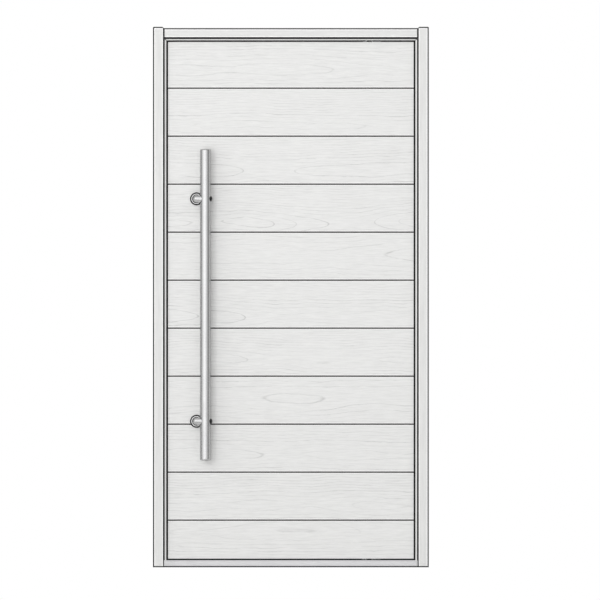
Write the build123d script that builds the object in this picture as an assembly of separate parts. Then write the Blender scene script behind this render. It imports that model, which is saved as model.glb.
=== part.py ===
from build123d import *
import os

# Pivot entry door in its frame, in millimetres. Seen from outside, X runs to the right, Y inward and Z up.
# The origin is the middle of the threshold's underside, and Y = 0 is the middle plane of the leaf.
# The leaf turns about an upright axis set in from its right edge, so its long side opens inward while its
# short side, the heel, swings out. The stops therefore change sides at the pivot, round all four edges.

# Frame
frame_width = 1240.0
frame_height = 2430.0
outer_face_y = -50.0
inner_face_y = 60.0
jamb_face = 49.0
head_face = 45.0
jamb_horn = 6.0
jamb_top_radius = 4.0
arris_radius = 1.5

# Shadow joint that parts the jambs' faces from the head, the beads and the threshold
joint_width = 7.4
head_joint_width = 9.0
joint_depth = 8.0

# Splayed bead round the opening, outside
bead_width = 11.0
head_bead_width = 10.0
bead_depth = 14.0
bead_setback = 1.0
bead_splay = 3.5

# Stops, which the leaf closes against
stop_step = 10.0
stop_to_leaf = 6.0
lap_at_ends = 4.0
lap_at_heel = 6.0

# Threshold
sill_top = 32.0
sill_nose = 26.0
sill_slope_depth = 4.5
sill_foot_height = 7.0
sill_foot_slope = 3.0
sill_foot_reach = 3.0
grip_groove_width = 2.0
grip_groove_depth = 1.0
grip_groove_pitch = 5.0
grip_groove_count = 4
grip_margin = 4.0

# Gaskets let into the stops
gasket_width = 5.0
gasket_depth = 3.0
gasket_proud = 1.0
gasket_end = 2.0

# Leaf
leaf_thickness = 68.0
board_thickness = 16.0
side_gap = 8.0
end_gap = 6.0
lock_inner_gap = 6.0
heel_inner_gap = 9.0
stile_width = 100.0
rail_height = 110.0

# Horizontal boards on both faces of the leaf
board_count = 11
bottom_board = 174.0
top_board = 209.0
shadow_gap = 4.0
board_chamfer = 1.5
tongue_thickness = 5.0
tongue_setback = 7.0
tongue_reach = 9.0
tongue_fit = 0.5

# Pivot
pivot_from_heel = 200.0
neutral_half = 30.0
frame_change = 52.0
pot_radius = 22.0
pot_floor = 4.0
spindle_radius = 9.0
spindle_height = 22.0
collar_radius = 14.0
running_gap = 0.06
axial_gap = 0.3
shoe_to_lock = 90.0
shoe_to_heel = 28.0
shoe_wall = 3.0
shoe_height = 38.0
pin_radius = 8.0
pin_collar_radius = 13.0
pin_reach = 31.0
pin_root = 23.0
socket_depth = 31.0
bore_clearance = 2.0

# Bottom seal
seal_wall = 4.0
seal_height = 9.0
seal_proud = 1.0
seal_setback = 4.0
seal_end = 20.0

# Pull bars, one on each face
bar_radius = 24.15
bar_wall = 2.0
bar_length = 1400.0
bar_bottom = 480.0
bar_stand_off = 68.0
bar_from_lock_edge = 168.3
bar_cap_edge = 6.0
bar_cap_bevel = 2.5
bar_plug_depth = 15.0
post_radius = 17.0
post_crank = 40.5
post_above_bar_bottom = 176.5
post_spacing = 1000.0
rosette_radius = 29.0
rosette_thickness = 6.0
rosette_edge = 1.5
rosette_fit = 0.1
cap_radius = 14.0
cap_height = 7.0

# Fixing holes through the jambs, an end pair and a middle pair a side
fixing_radius = 4.5
fixing_from_inner_face = 13.0
fixing_from_bottom = 200.0
fixing_from_top = 230.0
fixing_middle_spacing = 700.0

# Planes and levels that follow from the sizes above
half_width = frame_width / 2
reveal_x = half_width - jamb_face
bead_back_y = outer_face_y + bead_depth
stop_back_y = -stop_to_leaf
joint_back_y = outer_face_y + joint_depth
joint_half = joint_width / 2
head_joint_half = head_joint_width / 2
head_top = frame_height - jamb_horn
head_under = head_top - head_face
head_stop_under = head_under - stop_step
sill_low = sill_top - stop_step
stop_x = reveal_x - bead_width

leaf_half = leaf_thickness / 2
core_half = leaf_half - board_thickness
leaf_x = stop_x - side_gap
leaf_top = head_stop_under - end_gap
leaf_bottom = sill_top + end_gap
pivot_x = leaf_x - pivot_from_heel
change_x = pivot_x + frame_change

heel_stop_y = stop_to_leaf
heel_stop_x = leaf_x - lap_at_heel
heel_head_under = leaf_top - lap_at_ends
heel_sill_top = leaf_bottom + lap_at_ends

inner_lock_x = -(reveal_x - lock_inner_gap)
inner_heel_x = heel_stop_x - heel_inner_gap
inner_lock_top = head_under - end_gap
inner_lock_bottom = sill_low + end_gap
inner_heel_top = heel_head_under - end_gap
inner_heel_bottom = heel_sill_top + end_gap

bar_x = -leaf_x + bar_from_lock_edge
bar_y = -(leaf_half + bar_stand_off)
post_heights = [
    bar_bottom + post_above_bar_bottom,
    bar_bottom + post_above_bar_bottom + post_spacing,
]


def block(x_range, y_range, z_range):
    """A box between pairs of limits."""
    size = [high - low for low, high in (x_range, y_range, z_range)]
    return Pos(x_range[0], y_range[0], z_range[0]) * Box(*size, align=(Align.MIN,) * 3)


def plan_prism(points, z_low, z_high):
    """An outline of (x, y) points, run upwards."""
    face = Plane.XY.offset(z_low) * make_face(Polyline(*points, close=True))
    return extrude(face, z_high - z_low, dir=(0, 0, 1))


def section_prism(points, x_low, x_high):
    """An outline of (y, z) points, run along X."""
    face = Plane.YZ.offset(x_low) * make_face(Polyline(*points, close=True))
    return extrude(face, x_high - x_low, dir=(1, 0, 0))


def elevation_prism(points, y_low, y_high):
    """An outline of (x, z) points, run along Y."""
    face = Plane.XZ.offset(-y_low) * make_face(Polyline(*points, close=True))
    return extrude(face, y_high - y_low, dir=(0, 1, 0))


def eased(points, corners, radius):
    """An outline as a face, with the corners that are listed by their place rounded."""
    face = make_face(Polyline(*points, close=True))
    chosen = [
        vertex
        for vertex in face.vertices()
        if any(abs(vertex.X - x) + abs(vertex.Y - y) < radius / 10 for x, y in corners)
    ]
    return fillet(chosen, radius)


def upright(x, y, radius, z_low, z_high):
    """A round bar standing on Z."""
    return Pos(x, y, z_low) * Cylinder(radius, z_high - z_low, align=(Align.CENTER, Align.CENTER, Align.MIN))


def other_side(shape):
    """The same piece for the right-hand side of the frame."""
    return mirror(shape, about=Plane.YZ)


# Frame pieces


def fixing_holes(reach):
    """The screw holes of the left side, as deep as the wood that they go through."""
    x = -half_width + reach / 2
    y = inner_face_y - fixing_from_inner_face
    low = fixing_from_bottom
    high = frame_height - fixing_from_top
    middle = (low + high) / 2
    half_spacing = fixing_middle_spacing / 2
    heights = [low, middle - half_spacing, middle + half_spacing, high]
    return [Pos(x, y, height) * Rotation(0, 90, 0) * Cylinder(fixing_radius, reach) for height in heights]


def make_jamb(hole_reach):
    """The left jamb: a full-height post with eased arrises, a rebate for the shadow joint and a rounded top."""
    face_edge = (-reveal_x - joint_half, outer_face_y)
    plan = [
        (-half_width, outer_face_y),
        face_edge,
        (face_edge[0], joint_back_y),
        (-reveal_x, joint_back_y),
        (-reveal_x, inner_face_y),
        (-half_width, inner_face_y),
    ]
    section = Plane.XY * eased(plan, [plan[0], face_edge, plan[4], plan[5]], arris_radius)
    jamb = extrude(section, frame_height, dir=(0, 0, 1))
    top_left = (-half_width, frame_height)
    top_right = (face_edge[0], frame_height)
    front = eased([(-half_width, 0), top_left, top_right, (face_edge[0], 0)], [top_left, top_right], jamb_top_radius)
    front = extrude(Plane.XZ.offset(-outer_face_y) * front, inner_face_y - outer_face_y, dir=(0, 1, 0))
    back_edge = block((face_edge[0], -reveal_x), (joint_back_y, inner_face_y), (0, frame_height - jamb_top_radius))
    jamb = jamb & (front + back_edge)
    for hole in fixing_holes(hole_reach):
        jamb -= hole
    return jamb


def face_joints():
    """The room that the shadow joints take at the ends of what stands between the jambs."""
    depth = (outer_face_y - sill_foot_reach, joint_back_y)
    height = (0, frame_height)
    inside = reveal_x - joint_half
    return [block((-reveal_x, -inside), depth, height), block((inside, reveal_x), depth, height)]


def make_head():
    """The head, held between the jambs a little below their tops."""
    section = [
        (outer_face_y, head_top),
        (inner_face_y, head_top),
        (inner_face_y, head_under),
        (joint_back_y, head_under),
        (joint_back_y, head_under + head_joint_half),
        (outer_face_y, head_under + head_joint_half),
    ]
    face = eased(section, [section[0], section[1], section[2], section[5]], arris_radius)
    head = extrude(Plane.YZ.offset(-reveal_x) * face, 2 * reveal_x, dir=(1, 0, 0))
    return less(head - socket_body(), face_joints())


def make_threshold():
    """The sill: foot, nose, weathered slope and the step that the leaf's lock side laps over."""
    foot_y = outer_face_y - sill_foot_reach
    outline = [
        (foot_y, 0),
        (foot_y, sill_foot_height),
        (outer_face_y, sill_foot_height + sill_foot_slope),
        (outer_face_y, sill_nose),
        (outer_face_y + sill_slope_depth, sill_top),
        (stop_back_y, sill_top),
        (stop_back_y, sill_low),
        (inner_face_y, sill_low),
        (inner_face_y, 0),
    ]
    sill = less(section_prism(outline, -reveal_x, reveal_x), face_joints())
    for index in range(grip_groove_count):
        low = inner_face_y - grip_margin - grip_groove_width - index * grip_groove_pitch
        tread = (low, low + grip_groove_width)
        depth = (sill_low - grip_groove_depth, sill_low)
        sill -= block((-reveal_x, change_x), tread, depth)
    return sill - upright(pivot_x, 0, pot_radius, pot_floor, sill_top)


def make_sill_heel_stop():
    """The stepped strip on the threshold that the leaf's heel closes against."""
    section = [
        (stop_back_y, sill_low),
        (stop_back_y, sill_top),
        (heel_stop_y, sill_top),
        (heel_stop_y, heel_sill_top),
        (inner_face_y, heel_sill_top),
        (inner_face_y, sill_low),
    ]
    return section_prism(section, change_x, reveal_x)


def bead_section(width, joint):
    """A bead's section as (in from the reveal, y): a splayed face, a square return and its part of the joint."""
    front_y = outer_face_y + bead_setback
    return [
        (joint, front_y),
        (width, front_y + bead_splay),
        (width, bead_back_y),
        (0, bead_back_y),
        (0, joint_back_y),
        (joint, joint_back_y),
    ]


def make_bead():
    """The left bead: a splayed strip, mitred to the head bead at the top."""
    section = [(-reveal_x + inward, y) for inward, y in bead_section(bead_width, joint_half)]
    bead = plan_prism(section, 0, head_under)
    mitre = [
        (-reveal_x, 0),
        (-reveal_x, head_under),
        (-stop_x, head_under - head_bead_width),
        (-stop_x, 0),
    ]
    return bead & elevation_prism(mitre, outer_face_y, bead_back_y)


def make_head_bead():
    """The bead under the head, mitred at both ends."""
    section = [(y, head_under - inward) for inward, y in bead_section(head_bead_width, head_joint_half)]
    mitre = [
        (-reveal_x, head_under),
        (reveal_x, head_under),
        (stop_x, head_under - head_bead_width),
        (-stop_x, head_under - head_bead_width),
    ]
    bead = section_prism(section, -reveal_x, reveal_x)
    return bead & elevation_prism(mitre, outer_face_y, bead_back_y)


def make_lock_stop():
    """The stop behind the left bead, in front of the leaf's lap."""
    return block((-reveal_x, -stop_x), (bead_back_y, stop_back_y), (sill_top, head_under))


def make_heel_stop():
    """The stepped lining of the right jamb, whose deep part is the stop inside the leaf's heel."""
    section = [
        (reveal_x, bead_back_y),
        (stop_x, bead_back_y),
        (stop_x, heel_stop_y),
        (heel_stop_x, heel_stop_y),
        (heel_stop_x, inner_face_y),
        (reveal_x, inner_face_y),
    ]
    return plan_prism(section, sill_low, head_under)


def make_head_stop():
    """The stop under the head, from the lock side to just past the pivot."""
    stop = block((-stop_x, change_x), (bead_back_y, stop_back_y), (head_stop_under, head_under))
    return stop - socket_body()


def make_head_heel_stop():
    """The stepped stop under the head, over the heel."""
    section = [
        (bead_back_y, head_under),
        (bead_back_y, head_stop_under),
        (heel_stop_y, head_stop_under),
        (heel_stop_y, heel_head_under),
        (inner_face_y, heel_head_under),
        (inner_face_y, head_under),
    ]
    return section_prism(section, change_x, reveal_x)


def make_gaskets():
    """Six strips let into the stops: at the lock side, over and under it, and the same at the heel."""
    behind_stop = (stop_back_y - gasket_depth, stop_back_y + gasket_proud)
    before_stop = (heel_stop_y - gasket_proud, heel_stop_y + gasket_depth)
    lock_x = (-stop_x - gasket_proud - gasket_width, -stop_x - gasket_proud)
    heel_x = (heel_stop_x + gasket_proud, heel_stop_x + gasket_proud + gasket_width)
    lock_head = (head_stop_under + gasket_proud, head_stop_under + gasket_width)
    heel_head = (heel_head_under + gasket_proud, heel_head_under + gasket_width)
    lock_sill = (sill_top - gasket_width, sill_top - gasket_proud)
    heel_sill = (heel_sill_top - gasket_width, heel_sill_top - gasket_proud)
    side_z = (sill_top + gasket_end, head_stop_under - gasket_end)
    lock_run = (-stop_x + gasket_end, pivot_x - neutral_half)
    heel_run = (change_x + gasket_end, heel_stop_x - gasket_end)
    heel_z = (heel_sill_top + gasket_end, heel_head_under - gasket_end)
    return [
        block(lock_x, behind_stop, side_z),
        block(lock_run, behind_stop, lock_head),
        block(lock_run, behind_stop, lock_sill),
        block(heel_x, before_stop, heel_z),
        block(heel_run, before_stop, heel_head),
        block(heel_run, before_stop, heel_sill),
    ]


# Pivot


def make_pivot_base():
    """The floor pivot: a pot let into the sill, a thrust collar and a spindle."""
    collar_top = leaf_bottom - axial_gap
    pot = upright(pivot_x, 0, pot_radius, pot_floor, sill_top)
    collar = upright(pivot_x, 0, collar_radius, sill_top, collar_top)
    spindle = upright(pivot_x, 0, spindle_radius, collar_top, leaf_bottom + spindle_height)
    return pot + collar + spindle


def shoe_body():
    """The block of metal that the spindle carries, let into the bottom rail."""
    return block(
        (pivot_x - shoe_to_lock, pivot_x + shoe_to_heel),
        (shoe_wall - core_half, core_half - shoe_wall),
        (leaf_bottom, leaf_bottom + shoe_height),
    )


def make_pivot_shoe():
    """The shoe, bored from below to run on the spindle."""
    bore_top = leaf_bottom + spindle_height + bore_clearance
    return shoe_body() - upright(pivot_x, 0, spindle_radius + running_gap, leaf_bottom, bore_top)


def make_top_pin():
    """The pin that stands out of the top rail, with a spacing collar."""
    pin = upright(pivot_x, 0, pin_radius, leaf_top - pin_root, head_stop_under + pin_reach)
    return pin + upright(pivot_x, 0, pin_collar_radius, leaf_top, head_stop_under - axial_gap)


def socket_body():
    """The outside of the top socket, let into the head."""
    return upright(pivot_x, 0, pot_radius, head_stop_under, head_under + socket_depth)


def make_top_socket():
    """The socket, bored from below to run on the top pin."""
    bore_top = head_stop_under + pin_reach + bore_clearance
    return socket_body() - upright(pivot_x, 0, pin_radius + running_gap, head_stop_under, bore_top)


# Leaf


def inner_outline():
    """The leaf's inner half in elevation: lapped outward on the lock side, cut back at the heel."""
    lock_end = pivot_x - neutral_half
    heel_start = pivot_x + neutral_half
    return [
        (inner_lock_x, inner_lock_bottom),
        (lock_end, inner_lock_bottom),
        (lock_end, leaf_bottom),
        (heel_start, leaf_bottom),
        (heel_start, inner_heel_bottom),
        (inner_heel_x, inner_heel_bottom),
        (inner_heel_x, inner_heel_top),
        (heel_start, inner_heel_top),
        (heel_start, leaf_top),
        (lock_end, leaf_top),
        (lock_end, inner_lock_top),
        (inner_lock_x, inner_lock_top),
    ]


def leaf_blank():
    """The middle layer of the leaf, between the boards, with the step in its thickness."""
    outer = block((-leaf_x, leaf_x), (-core_half, 0), (leaf_bottom, leaf_top))
    return outer + elevation_prism(inner_outline(), 0, core_half)


def bottom_seals():
    """The seal under the leaf, in two lengths that leave out the pivot."""
    y_range = (seal_wall - core_half, -seal_setback)
    z_range = (leaf_bottom - seal_proud, leaf_bottom - seal_proud + seal_height)
    return [
        block((-leaf_x + seal_end, pivot_x - shoe_to_lock), y_range, z_range),
        block((pivot_x + shoe_to_heel, leaf_x - seal_end), y_range, z_range),
    ]


def make_leaf_frame():
    """Stiles, rails and core, cut from one blank that already holds the steps round its edge."""
    blank = leaf_blank()
    depth = (-core_half, core_half)
    low = inner_lock_bottom
    high = inner_lock_top
    side = leaf_x - stile_width
    rail_low = leaf_bottom + rail_height
    rail_high = leaf_top - rail_height
    pieces = {
        "stile_lock": blank & block((inner_lock_x, -side), depth, (low, high)),
        "stile_heel": blank & block((side, leaf_x), depth, (low, high)),
        "rail_bottom": blank & block((-side, side), depth, (low, rail_low)),
        "rail_top": blank & block((-side, side), depth, (rail_high, high)),
        "core": block((-side, side), depth, (rail_low, rail_high)),
    }
    for seal in bottom_seals():
        for name in ("stile_lock", "stile_heel", "rail_bottom"):
            pieces[name] -= seal
    pieces["rail_bottom"] -= shoe_body()
    pieces["rail_top"] -= upright(pivot_x, 0, pin_radius, leaf_top - pin_root, leaf_top)
    return pieces


def board_joints():
    """Heights of the joints between boards, from the bottom up."""
    pitch = (leaf_top - leaf_bottom - bottom_board - top_board) / (board_count - 2)
    return [leaf_bottom + bottom_board + index * pitch for index in range(board_count - 1)]


def board_section(low, high, tongued, grooved):
    """A board's section on the outer face: chamfered face edges, a tongue above and a groove below."""
    face = -leaf_half
    back = -core_half
    tongue_front = face + tongue_setback
    tongue_back = tongue_front + tongue_thickness
    groove_front = tongue_front - tongue_fit
    groove_back = tongue_back + tongue_fit
    groove_depth = tongue_reach - shadow_gap + tongue_fit
    points = [(back, low), (back, high)]
    if tongued:
        points += [
            (tongue_back, high),
            (tongue_back, high + tongue_reach),
            (tongue_front, high + tongue_reach),
            (tongue_front, high),
        ]
    points += [
        (face + board_chamfer, high),
        (face, high - board_chamfer),
        (face, low + board_chamfer),
        (face + board_chamfer, low),
    ]
    if grooved:
        points += [
            (groove_front, low),
            (groove_front, low + groove_depth),
            (groove_back, low + groove_depth),
            (groove_back, low),
        ]
    return points


def make_boards(x_low, x_high, z_low, z_high):
    """The boards of the outer face, bottom first, between the given edges."""
    joints = board_joints()
    lows = [z_low] + [joint + shadow_gap / 2 for joint in joints]
    highs = [joint - shadow_gap / 2 for joint in joints] + [z_high]
    boards = []
    for index, (low, high) in enumerate(zip(lows, highs)):
        section = board_section(low, high, index < board_count - 1, index > 0)
        boards.append(section_prism(section, x_low, x_high))
    return boards


def make_inner_boards():
    """The boards of the inner face, trimmed to the stepped outline."""
    boards = make_boards(inner_lock_x, leaf_x, inner_lock_bottom, inner_lock_top)
    trim = elevation_prism(inner_outline(), core_half, leaf_half)
    return [mirror(board, about=Plane.XZ) & trim for board in boards]


# Pull bar


def bar_solid():
    """The full round of the bar, which its posts and caps are shaped to."""
    return upright(bar_x, bar_y, bar_radius, bar_bottom, bar_bottom + bar_length)


def make_bar():
    """The tube of the pull bar."""
    low = bar_bottom + bar_cap_edge
    high = bar_bottom + bar_length - bar_cap_edge
    tube = upright(bar_x, bar_y, bar_radius, low, high)
    return tube - upright(bar_x, bar_y, bar_radius - bar_wall, low, high)


def make_bar_end():
    """The plug at the top of the bar: a spigot in the tube and a rim with a bevelled edge."""
    top = bar_bottom + bar_length
    seat = top - bar_cap_edge
    spigot = upright(bar_x, bar_y, bar_radius - bar_wall, seat - bar_plug_depth, seat)
    rim = upright(bar_x, bar_y, bar_radius, seat, top)
    return spigot + chamfer(rim.edges().group_by(Axis.Z)[-1], bar_cap_bevel)


def make_bar_ends():
    """Both plugs of the bar."""
    top_end = make_bar_end()
    middle = Plane.XY.offset(bar_bottom + bar_length / 2)
    return [mirror(top_end, about=middle), top_end]


def make_post(height):
    """A cranked post: straight out of the leaf, round a ball corner and square into the side of the bar."""
    post_x = bar_x - post_crank
    leg = Pos(post_x, (bar_y - leaf_half) / 2, height) * Rotation(90, 0, 0)
    post = leg * Cylinder(post_radius, bar_stand_off)
    post += Pos(post_x, bar_y, height) * Sphere(post_radius)
    arm = Pos(bar_x - post_crank / 2, bar_y, height) * Rotation(0, 90, 0)
    post += arm * Cylinder(post_radius, post_crank)
    return post - bar_solid()


def make_rosette(height):
    """A round cover plate that the post passes through."""
    lying = Rotation(90, 0, 0)
    place = Pos(bar_x - post_crank, -leaf_half - rosette_thickness / 2, height)
    plate = place * lying * Cylinder(rosette_radius, rosette_thickness)
    plate = chamfer(plate.edges().group_by(Axis.Y)[0], rosette_edge)
    return plate - place * lying * Cylinder(post_radius + rosette_fit, rosette_thickness)


def make_cap(height):
    """A domed cap over the post's screw, on the far side of the bar."""
    ball_radius = (cap_radius**2 + cap_height**2) / (2 * cap_height)
    ball = Pos(bar_x + bar_radius + cap_height - ball_radius, bar_y, height) * Sphere(ball_radius)
    outward = block(
        (bar_x + bar_radius / 2, bar_x + bar_radius + cap_height),
        (bar_y - ball_radius, bar_y + ball_radius),
        (height - ball_radius, height + ball_radius),
    )
    return (ball & outward) - bar_solid()


def make_pull():
    """The outer face's pull bar, with all that holds it."""
    return {
        "pull_bar": [make_bar()],
        "bar_ends": make_bar_ends(),
        "posts": [make_post(height) for height in post_heights],
        "rosettes": [make_rosette(height) for height in post_heights],
        "caps": [make_cap(height) for height in post_heights],
    }


def less(shape, tools):
    """A piece with several others taken out of it."""
    for tool in tools:
        shape -= tool
    return shape


def make_frame():
    """Every piece that stays with the wall, by name."""
    gaskets = make_gaskets()
    threshold = make_threshold()
    sill_heel_stop = make_sill_heel_stop()
    bead = make_bead() - threshold
    heel_stop = less(make_heel_stop(), [threshold, sill_heel_stop])
    heel_reach = half_width - heel_stop_x
    heel_holes = [other_side(hole) for hole in fixing_holes(heel_reach)]
    pieces = {
        "jamb_left": make_jamb(jamb_face),
        "jamb_right": other_side(make_jamb(heel_reach)),
        "head": make_head(),
        "threshold": less(threshold, gaskets),
        "bead_left": bead,
        "bead_right": other_side(bead),
        "bead_head": make_head_bead(),
        "stop_left": less(make_lock_stop(), gaskets),
        "stop_right": less(heel_stop, gaskets + heel_holes),
        "stop_head": less(make_head_stop(), gaskets),
        "stop_head_heel": less(make_head_heel_stop() - heel_stop, gaskets),
        "stop_sill_heel": less(sill_heel_stop, gaskets),
        "pivot_base": make_pivot_base(),
        "top_socket": make_top_socket(),
    }
    return {name: [piece] for name, piece in pieces.items()} | {"gaskets": gaskets}


def make_leaf():
    """Every piece that turns with the leaf, by name."""
    pieces = {name: [piece] for name, piece in make_leaf_frame().items()}
    outer_boards = make_boards(-leaf_x, leaf_x, leaf_bottom, leaf_top)
    for number, board in enumerate(outer_boards, start=1):
        pieces[f"board_out_{number:02d}"] = [board]
    pieces["boards_in"] = make_inner_boards()
    pieces["drop_seal"] = bottom_seals()
    pieces["pivot_shoe"] = [make_pivot_shoe()]
    pieces["top_pin"] = [make_top_pin()]
    for name, solids in make_pull().items():
        pieces[f"{name}_out"] = solids
        pieces[f"{name}_in"] = [mirror(solid, about=Plane.XZ) for solid in solids]
    return pieces


os.makedirs("parts", exist_ok=True)
for node, solids in (make_frame() | make_leaf()).items():
    shape = solids[0] if len(solids) == 1 else Compound(children=solids)
    export_step(shape, f"parts/{node}.step")
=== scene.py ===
"""Dresses a pivot entry door: painted frame, boarded leaf, metal threshold and two tubular pull bars.

Lengths are metres in the model's own frame: X to the right seen from outside, Y inward and Z up.
"""

import logging
import math
from collections.abc import Callable, Iterable, Mapping
from dataclasses import dataclass, replace
from enum import Enum
from typing import Any

import bpy
from bpy.types import Material, MeshEdge, MeshPolygon, MeshVertex, Node, NodeSocket, NodeTree, Object
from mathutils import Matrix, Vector


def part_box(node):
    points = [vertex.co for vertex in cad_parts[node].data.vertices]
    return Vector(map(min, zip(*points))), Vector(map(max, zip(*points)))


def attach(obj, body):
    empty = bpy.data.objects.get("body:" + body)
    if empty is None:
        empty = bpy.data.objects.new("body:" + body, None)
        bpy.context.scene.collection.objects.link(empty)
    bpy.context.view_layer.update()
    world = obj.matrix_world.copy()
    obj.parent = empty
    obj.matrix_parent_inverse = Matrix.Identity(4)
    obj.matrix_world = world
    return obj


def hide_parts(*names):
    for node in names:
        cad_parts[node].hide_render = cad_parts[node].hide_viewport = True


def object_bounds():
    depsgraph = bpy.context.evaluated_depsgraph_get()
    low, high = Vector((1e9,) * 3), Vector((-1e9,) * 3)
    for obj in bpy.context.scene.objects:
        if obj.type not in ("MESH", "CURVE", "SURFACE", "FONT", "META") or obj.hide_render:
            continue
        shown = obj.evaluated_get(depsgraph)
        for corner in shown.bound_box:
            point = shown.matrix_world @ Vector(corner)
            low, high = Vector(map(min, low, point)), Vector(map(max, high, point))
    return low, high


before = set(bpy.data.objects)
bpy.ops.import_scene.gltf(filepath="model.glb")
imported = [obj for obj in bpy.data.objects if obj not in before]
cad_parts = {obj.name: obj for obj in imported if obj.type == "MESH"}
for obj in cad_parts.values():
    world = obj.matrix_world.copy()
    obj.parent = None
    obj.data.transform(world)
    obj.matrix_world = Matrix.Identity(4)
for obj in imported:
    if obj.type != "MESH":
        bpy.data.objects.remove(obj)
CAD_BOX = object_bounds()

MM = 0.001
QUARTER_TURN = math.radians(90)
UP = 2

# Coordinates beyond the door, for zones that are open there: below or in front, behind, and above
NEAR = -1.0
BACK = 1.0
FAR = 3.0

report = logging.getLogger("door")


class Part(Enum):
    """What an editing step picks on a mesh."""

    FACES = "FACE"
    EDGES = "EDGE"
    VERTICES = "VERT"


class Run(Enum):
    """The way that timber or metal runs, as how dense its streaks are along X, Y and Z."""

    ACROSS = (1.0, 12.0, 12.0)
    UPRIGHT = (12.0, 12.0, 1.0)


class Side(Enum):
    """A face of the leaf, as the ending of its nodes' names."""

    OUTSIDE = "out"
    INSIDE = "in"


# Colour and nodes


def linear(code: str) -> tuple[float, float, float, float]:
    """Turns a colour as written for a screen into the linear one that a shader takes.

    Args:
        code: The colour as six hexadecimal digits.

    Returns:
        Red, green, blue and a full alpha.
    """
    toe, slope, lift, power = 0.04045, 12.92, 0.055, 2.4
    channels = [int(code[start : start + 2], 16) / 255 for start in (0, 2, 4)]
    red, green, blue = (c / slope if c <= toe else ((c + lift) / (1 + lift)) ** power for c in channels)
    return red, green, blue, 1.0


Feed = float | Node | NodeSocket
Feeds = Mapping[int | str, Any] | Iterable[Any]
Look = tuple[Node, Node, Node]


def add(tree: NodeTree, kind: str, feeds: Feeds = (), **settings: Any) -> Node:
    """Adds one node, sets it up and feeds its sockets.

    Args:
        tree: The node tree that gets the node.
        kind: The node's class name without "ShaderNode", and after a dot its operation where it has one.
        feeds: For its first sockets in turn, or for sockets by name or number: a value, a socket, or a
            node whose first output is used.
        **settings: The node's own options.

    Returns:
        The new node.
    """
    name, _, operation = kind.partition(".")
    node = tree.nodes.new("ShaderNode" + name)
    if operation:
        node.operation = operation
    for name, value in settings.items():
        setattr(node, name, value)
    for name, value in feeds.items() if isinstance(feeds, Mapping) else enumerate(feeds):
        if isinstance(value, Node):
            value = value.outputs[0]
        if isinstance(value, NodeSocket):
            tree.links.new(value, node.inputs[name])
        else:
            node.inputs[name].default_value = value
    return node


@dataclass(frozen=True)
class Zone:
    """A box in the model's frame, the same on the left and on the right."""

    low: tuple[float, float, float]
    high: tuple[float, float, float]

    def test(self, tree: NodeTree, point: Node) -> Node:
        """Tells whether a point lies in the zone.

        Args:
            tree: The material's nodes.
            point: The point, with the size of its X.

        Returns:
            A node that gives 1 inside and 0 outside.
        """
        over = add(tree, "VectorMath.SUBTRACT", (point, self.low))
        under = add(tree, "VectorMath.SUBTRACT", (self.high, point))
        least = add(tree, "VectorMath.MINIMUM", (over, under))
        least = add(tree, "SeparateXYZ", (least,))
        sideways = add(tree, "Math.MINIMUM", (least.outputs[0], least.outputs[1]))
        inside = add(tree, "Math.MINIMUM", (sideways, least.outputs[2]))
        return add(tree, "Math.GREATER_THAN", (inside, 0.0))


@dataclass(frozen=True)
class Mitre:
    """The hairline of a mitre in the front view, from an outer corner to an inner one, on both sides."""

    outer: tuple[float, float]
    inner: tuple[float, float]
    width: float

    def test(self, tree: NodeTree, point: Node) -> Node:
        """Tells whether a point lies on the hairline.

        Args:
            tree: The material's nodes.
            point: The point, with the size of its X.

        Returns:
            A node that gives 1 on the line and 0 elsewhere.
        """
        run = self.outer[0] - self.inner[0]
        rise = self.outer[1] - self.inner[1]
        length = math.hypot(run, rise)
        across = (rise / length, 0.0, -run / length)
        offset = across[0] * self.outer[0] + across[2] * self.outer[1]
        distance = add(tree, "VectorMath.DOT_PRODUCT", (point, across)).outputs["Value"]
        near = add(tree, "Math.COMPARE", (distance, offset, self.width / 2))
        box = Zone((self.inner[0], NEAR, self.inner[1]), (self.outer[0], 0.0, self.outer[1]))
        return add(tree, "Math.MULTIPLY", (near, box.test(tree, point)))


@dataclass(frozen=True)
class Rings:
    """Two like rings in the front view, one over the other, and the same on the left and on the right."""

    side: float
    heights: tuple[float, float]
    inner: float
    outer: float

    def test(self, tree: NodeTree, point: Node) -> Node:
        """Tells whether a point lies in either ring.

        Args:
            tree: The material's nodes.
            point: The point, with the size of its X.

        Returns:
            A node that gives 1 in a ring and 0 elsewhere.
        """
        flat = add(tree, "VectorMath.MULTIPLY", (point, (1.0, 0.0, 1.0)))
        reach = []
        for height in self.heights:
            middle = (self.side, 0.0, height)
            span = add(tree, "VectorMath.DISTANCE", (flat, middle))
            reach.append(span.outputs["Value"])
        nearest = add(tree, "Math.MINIMUM", (reach[0], reach[1]))
        half = (self.outer - self.inner) / 2
        return add(tree, "Math.COMPARE", (nearest, self.inner + half, half))


@dataclass(frozen=True)
class Patch:
    """A colour of its own for some places of a surface."""

    colour: str
    places: tuple[Zone | Mitre | Rings, ...]


# Finishes


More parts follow.
